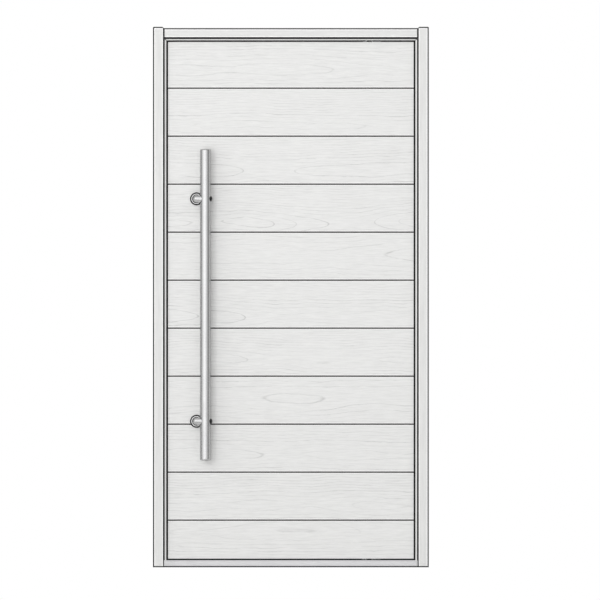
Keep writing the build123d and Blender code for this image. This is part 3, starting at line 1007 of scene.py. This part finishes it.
@dataclass
class PullBars:
    """The pull bars of both faces: a tube with end plugs on two cranked posts with rosettes and caps."""

    around: int = 96
    crisp: float = 20.0
    fine: float = 0.01 * MM
    bore: float = 12.0 * MM
    spigot: float = 10.0 * MM
    wall: float = 2.0 * MM
    seam: float = 0.3 * MM
    shoulder: float = 4.2 * MM
    dome: tuple[tuple[float, float], ...] = ((5 * MM, 0.6 * MM), (6 * MM, 0.4 * MM), (6 * MM, 0.2 * MM))
    into_bar: float = 7.8 * MM
    rosette_rim: float = 6.0 * MM
    recess_shade_reach: float = 2.8 * MM
    rosette_rounding: float = 2.6 * MM
    rosette_recess: float = 0.8 * MM
    recess_margin: float = 1.4 * MM
    cap_seat: float = 3.0 * MM
    colour: str = "E8E8E8"
    shade: str = "DCDCDD"
    gloss: float = 0.2
    # Near black for the rim finished black and for the painted shade in the recess round each post
    blackened_rim_and_recess_shade: str = "1C1C1D"

    def measure(self) -> None:
        """Reads the bar's sizes from its nodes."""
        low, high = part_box("pull_bar_out")
        self.axis = Vector(((low.x + high.x) / 2, (low.y + high.y) / 2, 0.0))
        self.radius = min(high.x - low.x, high.y - low.y) / 2
        self.tube_low, self.tube_high = low.z, high.z
        low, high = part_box("bar_ends_out")
        self.low, self.high = low.z, high.z
        low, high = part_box("posts_out")
        self.face = high.y
        low_rosette, high_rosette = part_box("rosettes_out")
        self.rosette_radius = (high_rosette.x - low_rosette.x) / 2
        self.post_x = (high_rosette.x + low_rosette.x) / 2
        self.rosette_front = low_rosette.y
        self.post_radius = self.post_x - low.x
        self.heights = (low.z + self.post_radius, high.z - self.post_radius)
        low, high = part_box("caps_out")
        self.cap_radius = high.z - self.heights[1]
        self.cap_out = high.x

    def tube(self) -> Object:
        """Models the tube: open ends with a wall, and a fine bevel at the seam of each plug."""
        length = self.tube_high - self.tube_low
        middle = self.axis + Vector((0, 0, (self.tube_low + self.tube_high) / 2))
        made = start(
            "pull_tube_out", bpy.ops.mesh.primitive_cylinder_add,
            vertices=self.around, radius=self.radius, depth=length, location=middle,
        )
        ends = [facing(UP), facing(UP, -1)]
        shape(
            made, Part.FACES, lambda face: any(end(face) for end in ends), bpy.ops.mesh.inset,
            thickness=self.wall,
        )
        for sign in (1, -1):
            shape(
                made, Part.FACES, facing(UP, sign), bpy.ops.mesh.extrude_region_move,
                TRANSFORM_OT_translate={"value": (0, 0, -sign * self.bore)},
            )
        rim = self.radius - self.wall / 2

        def outer_rim(edge: MeshEdge) -> bool:
            """Picks the outer edge of both ends."""
            ends = [made.data.vertices[index].co for index in edge.vertices]
            return all(abs(end.z) > length / 2 - self.wall / 4 and end.xy.length > rim for end in ends)

        shape(made, Part.EDGES, outer_rim, bpy.ops.mesh.bevel, offset=self.seam, segments=2)
        return settle(made, self.crisp)

    def plug(self) -> Object:
        """Models the top plug: a slightly domed disc with a rounded shoulder, and a spigot in the tube."""
        rise = sum(depth for _, depth in self.dome)
        thick = self.high - self.tube_high - rise
        middle = self.axis + Vector((0, 0, self.tube_high + thick / 2))
        made = start(
            "bar_plug_top", bpy.ops.mesh.primitive_cylinder_add,
            vertices=self.around, radius=self.radius, depth=thick, location=middle,
        )
        shape(made, Part.EDGES, beyond(made, UP), bpy.ops.mesh.bevel, offset=self.shoulder, segments=8)
        for inset, depth in self.dome:
            shape(made, Part.FACES, facing(UP), bpy.ops.mesh.inset, thickness=inset, depth=depth)
        shape(made, Part.FACES, facing(UP, -1), bpy.ops.mesh.inset, thickness=self.wall + self.seam)
        shape(
            made, Part.FACES, facing(UP, -1), bpy.ops.mesh.extrude_region_move,
            TRANSFORM_OT_translate={"value": (0, 0, -self.spigot)},
        )
        return settle(made)

    def plugs(self) -> Object:
        """Models both plugs as one piece."""
        top = self.plug()
        low = copied(top, "bar_plug_low", Vector())
        low.scale = (1.0, 1.0, -1.0)
        low.location = (0.0, 0.0, self.low + self.high)
        return join([top, settle(low)], "bar_plugs_out")

    def limb(self, corner: Vector, run: Vector, length: float, turn: tuple[float, float, float]) -> Object:
        """Models one limb of a cranked post, cut at the mitre inside the corner and square outside it.

        Args:
            corner: The middle of the post's corner.
            run: The way that the limb runs from the corner.
            length: How far it runs.
            turn: The turn that lays the primitive along the limb.

        Returns:
            The limb, open at the corner.
        """
        spare = 2 * self.post_radius
        made = start(
            "limb", bpy.ops.mesh.primitive_cylinder_add,
            vertices=self.around, radius=self.post_radius, depth=length + spare,
            location=corner + run * (length - spare) / 2, rotation=turn,
        )
        seat()
        other = Vector((1.0, 1.0, 0.0)) - run
        cut(made, corner, other - run)
        cut(made, corner, -run)
        return made

    def post(self, height: float) -> Object:
        """Models a cranked post: out of the leaf, round a ball corner and into the side of the tube."""
        corner = Vector((self.post_x, self.axis.y, height))
        leg = self.limb(corner, Vector((0, 1, 0)), self.face - self.axis.y, (QUARTER_TURN, 0, 0))
        reach = self.axis.x - self.radius + self.into_bar - self.post_x
        arm = self.limb(corner, Vector((1, 0, 0)), reach, (0, QUARTER_TURN, 0))
        made = join([leg, arm], "post")
        points = made.data.vertices

        def outer_half(edge: MeshEdge) -> bool:
            """Picks the outer half of the open end of the leg."""
            ends = [points[index].co - corner for index in edge.vertices]
            return all(abs(end.y) < self.fine and end.x < self.fine for end in ends)

        shape(
            made, Part.EDGES, outer_half, bpy.ops.mesh.spin,
            steps=self.around // 4, angle=QUARTER_TURN, center=corner, axis=(0, 0, -1),
        )
        shape(made, Part.VERTICES, lambda vertex: True, bpy.ops.mesh.remove_doubles, threshold=self.fine)
        return settle(made, self.crisp)

    def rosette(self, height: float) -> Object:
        """Models a cover plate: a rounded shoulder and a shallow turned recess round the post."""
        thick = self.face - self.rosette_front
        made = start(
            "rosette", bpy.ops.mesh.primitive_cylinder_add,
            vertices=self.around, radius=self.rosette_radius, depth=thick,
            location=(self.post_x, (self.face + self.rosette_front) / 2, height),
            rotation=(QUARTER_TURN, 0, 0),
        )
        rounding = self.rosette_rounding
        shape(made, Part.EDGES, beyond(made, UP), bpy.ops.mesh.bevel, offset=rounding, segments=6)
        flat = self.rosette_radius - rounding
        ring = flat - self.post_radius - self.recess_margin
        shape(made, Part.FACES, facing(UP), bpy.ops.mesh.inset, thickness=ring)
        shape(
            made, Part.FACES, facing(UP), bpy.ops.mesh.extrude_region_move,
            TRANSFORM_OT_translate={"value": (0, self.rosette_recess, 0)},
        )
        return settle(made)

    def cap(self, height: float) -> Object:
        """Models a domed cap: a slice of a ball, seated on the far side of the tube."""
        out = self.cap_out - (self.axis.x + self.radius)
        ball = (self.cap_radius**2 + out**2) / (2 * out)
        middle = Vector((self.cap_out - ball, self.axis.y, height))
        made = start(
            "cap", bpy.ops.mesh.primitive_uv_sphere_add,
            segments=self.around // 2, ring_count=self.around // 3, radius=ball, location=middle,
            rotation=(0, QUARTER_TURN, 0),
        )
        seat()
        back = self.axis.x + self.radius - self.cap_seat
        shape(
            made, Part.FACES, lambda face: True, bpy.ops.mesh.bisect,
            plane_co=(back, self.axis.y, height), plane_no=(1, 0, 0), use_fill=True, clear_inner=True,
        )
        return settle(made)

    def build(self) -> None:
        """Models the outer bar, mirrors it to the inside and dresses both."""
        self.measure()
        brushed = DrawnMetal(
            "satin_stainless_steel_brushed_lengthwise", self.colour, self.gloss, metallic=1.0,
            shade=self.shade, lines=110.0, edge_tint="000000",
        )
        turned = replace(brushed, name="satin_stainless_steel_turned", lines=70.0, run=Run.ACROSS)
        off_middle = abs(self.post_x)
        rim_in, rim_out = self.rosette_radius - self.rosette_rim, self.rosette_radius + MM
        rim = Rings(off_middle, self.heights, rim_in, rim_out)
        # Painted shade: the shallow recess round the foot of each post is coloured near black, as the shade
        # that falls there; the outer ring is the rim finished black
        recess_shade = Rings(off_middle, self.heights, 0.0, self.post_radius + self.recess_shade_reach)
        rimmed = replace(
            turned, name="satin_stainless_steel_turned_with_blackened_rim",
            patches=(Patch(self.blackened_rim_and_recess_shade, (rim, recess_shade)),),
        )
        steel, plain, rimmed = brushed.material(), turned.material(), rimmed.material()
        black = Grained("moulded_black_cap", "161617", roughness=0.28, grain=500.0).material()
        posts = join([self.post(height) for height in self.heights], "posts_cranked_out")
        rosettes = join([self.rosette(height) for height in self.heights], "rosettes_turned_out")
        caps = join([self.cap(height) for height in self.heights], "caps_domed_out")
        rows = (
            ("pull_bar", "pull_tube", self.tube(), steel, "bar_steel"),
            ("bar_ends", "bar_plugs", self.plugs(), plain, "bar_steel"),
            ("posts", "posts_cranked", posts, plain, "bar_steel"),
            ("rosettes", "rosettes_turned", rosettes, rimmed, "bar_steel"),
            ("caps", "caps_domed", caps, black, "cap_black"),
        )
        for node, name, outer, material, slot in rows:
            dress(outer, material)
            for side in Side:
                piece = outer if side is Side.OUTSIDE else mirrored(outer, f"{name}_{side.value}")
                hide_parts(f"{node}_{side.value}")
                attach(piece, "leaf")
        report.info("pull bars: %d kinds of piece on both faces", len(rows))


@dataclass
class FrameScrews:
    """The screws that hold the jambs to the wall, sunk in their holes in the reveals."""

    heights: tuple[float, ...] = (200 * MM, 850 * MM, 1550 * MM, 2200 * MM)
    y: float = 47.0 * MM
    sunk: float = 2.5 * MM
    radius: float = 4.2 * MM
    length: float = 6.0 * MM
    around: int = 48
    rounding: float = 0.5 * MM
    rim: float = 1.4 * MM
    lobe_rim: float = 1.5 * MM
    lobe_depth: float = 0.78
    recess: float = 2.2 * MM

    def head(self) -> Object:
        """Models one screw head at the origin, facing +X, with a six-lobed recess."""
        made = start(
            "screw_head", bpy.ops.mesh.primitive_cylinder_add,
            vertices=self.around, radius=self.radius, depth=self.length,
            location=(-self.length / 2, 0, 0), rotation=(0, QUARTER_TURN, 0),
        )
        seat()
        front_rim = beyond(made, 0, -self.length / 4)
        shape(made, Part.EDGES, front_rim, bpy.ops.mesh.bevel, offset=self.rounding, segments=3)
        shape(made, Part.FACES, facing(0), bpy.ops.mesh.inset, thickness=self.rim)
        inner = self.radius - self.lobe_rim
        lobes, valley = 6, 0.1

        def lobe(vertex: MeshVertex) -> bool:
            """Picks the points between the lobes on the recess's edge."""
            across = vertex.co.yz
            on_ring = vertex.co.x > -MM / 4 and across.length < inner
            return on_ring and math.cos(lobes * math.atan2(across.y, across.x)) < valley

        drawn_in = (1.0, self.lobe_depth, self.lobe_depth)
        shape(made, Part.VERTICES, lobe, bpy.ops.transform.resize, value=drawn_in)
        shape(
            made, Part.FACES, facing(0), bpy.ops.mesh.extrude_region_move,
            TRANSFORM_OT_translate={"value": (-self.recess, 0, 0)},
        )
        return settle(made)

    def build(self) -> None:
        """Models one head and sets copies of it in the holes of both jambs."""
        zinc = DrawnMetal(
            "zinc_plated_steel_screw", "B9BAB6", roughness=0.34, metallic=1.0, lines=160.0, shade="9B9C98",
        ).material()
        head = self.head()
        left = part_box("jamb_left")[1].x - self.sunk
        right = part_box("stop_right")[0].x + self.sunk
        for number, height in enumerate(self.heights, start=1):
            near = copied(head, f"frame_screw_left_{number}", Vector((left, self.y, height)))
            far = copied(head, f"frame_screw_right_{number}", Vector())
            far.rotation_euler = (0.0, 0.0, 2 * QUARTER_TURN)
            far.location = (right, self.y, height)
            settle(far)
            for screw in (near, far):
                dress(screw, zinc)
                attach(screw, "frame")
        bpy.data.objects.remove(head)
        report.info("frame screws: %d heads", 2 * len(self.heights))


@dataclass
class PileSeals:
    """Short pile seals in the head and on the threshold, which close the gaps beside the pivot."""

    pivot: float = 352.0 * MM
    ends: tuple[float, float] = (321.0 * MM, 405.0 * MM)
    back: float = -6.6 * MM
    depth: float = 4.6 * MM
    top_collar: float = 13.7 * MM
    low_collar: float = 14.7 * MM
    swept_from: float = 25.6 * MM
    head_under: float = 2369.0 * MM
    sill_top: float = 32.0 * MM
    tall: float = 5.5 * MM
    trimmed: float = 4.5 * MM
    rounding: float = 0.5 * MM

    def strip(self, start_x: float, end_x: float, low: float, high: float) -> Object:
        """Models one length of pile, with its edges rounded by the trimming.

        Args:
            start_x: Its left end.
            end_x: Its right end.
            low: Its lower side.
            high: Its upper side.

        Returns:
            The length of pile.
        """
        place = ((start_x + end_x) / 2, self.back - self.depth / 2, (low + high) / 2)
        size = (end_x - start_x, self.depth, high - low)
        made = start("pile", bpy.ops.mesh.primitive_cube_add, size=1.0, location=place, scale=size)
        seat()
        shape(made, Part.EDGES, lambda edge: True, bpy.ops.mesh.bevel, offset=self.rounding, segments=2)
        return settle(made)

    def build(self) -> None:
        """Models the lengths over and under the leaf and dresses them."""
        lock_end, heel_end = self.ends
        tip = self.head_under - self.tall
        over = [
            self.strip(lock_end, self.pivot - self.top_collar, tip, self.head_under),
            self.strip(self.pivot + self.top_collar, heel_end, tip, self.head_under),
        ]
        tall, trimmed = self.sill_top + self.tall, self.sill_top + self.trimmed
        lock_step, heel_step = self.pivot - self.swept_from, self.pivot + self.swept_from
        under = [
            self.strip(lock_end, lock_step, self.sill_top, trimmed),
            self.strip(lock_step, self.pivot - self.low_collar, self.sill_top, tall),
            self.strip(self.pivot + self.low_collar, heel_step, self.sill_top, tall),
            self.strip(heel_step, heel_end, self.sill_top, trimmed),
        ]
        pile = Grained("black_nylon_pile", "1A1A1B", roughness=0.9, shade="0E0E0F", grain=1500.0)
        material = pile.material()
        for name, strips in (("pile_seal_over_leaf", over), ("pile_seal_under_leaf", under)):
            piece = join(strips, name)
            dress(piece, material)
            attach(piece, "frame")
        report.info("pile seals: over and under the leaf")


@dataclass
class Studio:
    """A pale floor, a soft sky that is brightest in front and white behind, two lamps and the camera."""

    picture_height: float = 2.6974
    middle: tuple[float, float, float] = (41.1 * MM, 0.0, 1201.7 * MM)
    camera_distance: float = 6.0
    lamp_distance: float = 8.0
    lamp_left: float = 16.0
    lamp_up: float = 4.0
    lamp_size: float = 3.4
    lamp_power: float = 207.0
    rear_place: tuple[float, float, float] = (1.8, 4.2, 2.9)
    rear_size: float = 2.2
    rear_power: float = 60.0
    glow_left: float = 22.0
    glow_up: float = 8.0
    glow_tightness: float = 2.0
    sky_low: float = 0.28
    sky_glow: float = 1.04
    back_levels: tuple[float, float] = (0.2, 0.95)
    floor_size: float = 24.0

    def floor(self) -> None:
        """Lays the floor."""
        made = start("floor", bpy.ops.mesh.primitive_plane_add, size=self.floor_size, location=(0, 0, 0))
        paper = Grained("matt_white_floor_paper", "F0F0EF", roughness=0.9, shade="ECECEB", grain=60.0)
        dress(made, paper.material())

    def sky(self) -> None:
        """Makes the world: white behind the door, bright in front and darker at both sides."""
        world = bpy.data.worlds.new("soft_studio")
        bpy.context.scene.world = world
        world.use_nodes = True
        tree = world.node_tree
        ray = add(tree, "TexCoord", {}).outputs["Generated"]
        back = add(tree, "VectorMath.DOT_PRODUCT", (ray, (0.0, 1.0, 0.0))).outputs["Value"]
        back = add(tree, "MapRange", (back, *self.back_levels), interpolation_type="SMOOTHSTEP")
        side = math.radians(self.glow_left)
        rise = math.radians(self.glow_up)
        level_run = math.cos(rise)
        front = Vector((-math.sin(side) * level_run, -math.cos(side) * level_run, math.sin(rise)))
        glow = add(tree, "VectorMath.DOT_PRODUCT", (ray, front)).outputs["Value"]
        glow = add(tree, "Math.MAXIMUM", (glow, 0.0))
        glow = add(tree, "Math.POWER", (glow, self.glow_tightness))
        level = add(tree, "Math.MULTIPLY_ADD", (back, 1.0 - self.sky_low, self.sky_low))
        level = add(tree, "Math.MULTIPLY_ADD", (glow, self.sky_glow, level))
        tree.links.new(level.outputs[0], tree.nodes["Background"].inputs["Strength"])
        tree.nodes["Background"].inputs["Color"].default_value = (1.0, 1.0, 1.0, 1.0)

    def lamp(self, name: str, place: Vector, size: float, power: float) -> None:
        """Hangs a square lamp that looks at the middle of the door and leaves no reflection of its own.

        Args:
            name: The lamp's name.
            place: Where it hangs.
            size: The length of its side.
            power: Its power in watts.
        """
        data = bpy.data.lights.new(name, "AREA")
        data.shape = "SQUARE"
        data.size = size
        data.energy = power
        made = bpy.data.objects.new(name, data)
        bpy.context.scene.collection.objects.link(made)
        made.location = place
        made.rotation_euler = (Vector(self.middle) - place).to_track_quat("-Z", "Y").to_euler()
        made.visible_glossy = False

    def camera(self) -> None:
        """Sets up the camera: square on and without perspective, as an elevation is drawn."""
        data = bpy.data.cameras.new("elevation")
        data.type = "ORTHO"
        data.ortho_scale = self.picture_height
        made = bpy.data.objects.new("elevation", data)
        bpy.context.scene.collection.objects.link(made)
        made.location = Vector(self.middle) + Vector((0, -self.camera_distance, 0))
        made.rotation_euler = (QUARTER_TURN, 0, 0)
        bpy.context.scene.camera = made

    def build(self) -> None:
        """Makes the floor, the light and the camera."""
        self.floor()
        self.sky()
        left = math.tan(math.radians(self.lamp_left)) * self.lamp_distance
        up = math.tan(math.radians(self.lamp_up)) * self.lamp_distance
        place = Vector(self.middle) + Vector((-left, -self.lamp_distance, up))
        self.lamp("key", place, self.lamp_size, self.lamp_power)
        self.lamp("rear", Vector(self.rear_place), self.rear_size, self.rear_power)
        self.camera()
        bpy.context.scene.view_settings.view_transform = "Standard"
        report.info("studio: floor, sky, two lamps and the camera")


def main() -> None:
    """Builds the door's looks in order."""
    logging.basicConfig(level=logging.INFO, format="%(name)s %(message)s")
    for assembly in (DoorFrame(), Leaf(), Pivots(), PullBars(), FrameScrews(), PileSeals(), Studio()):
        assembly.build()


if __name__ == "__main__":
    main()
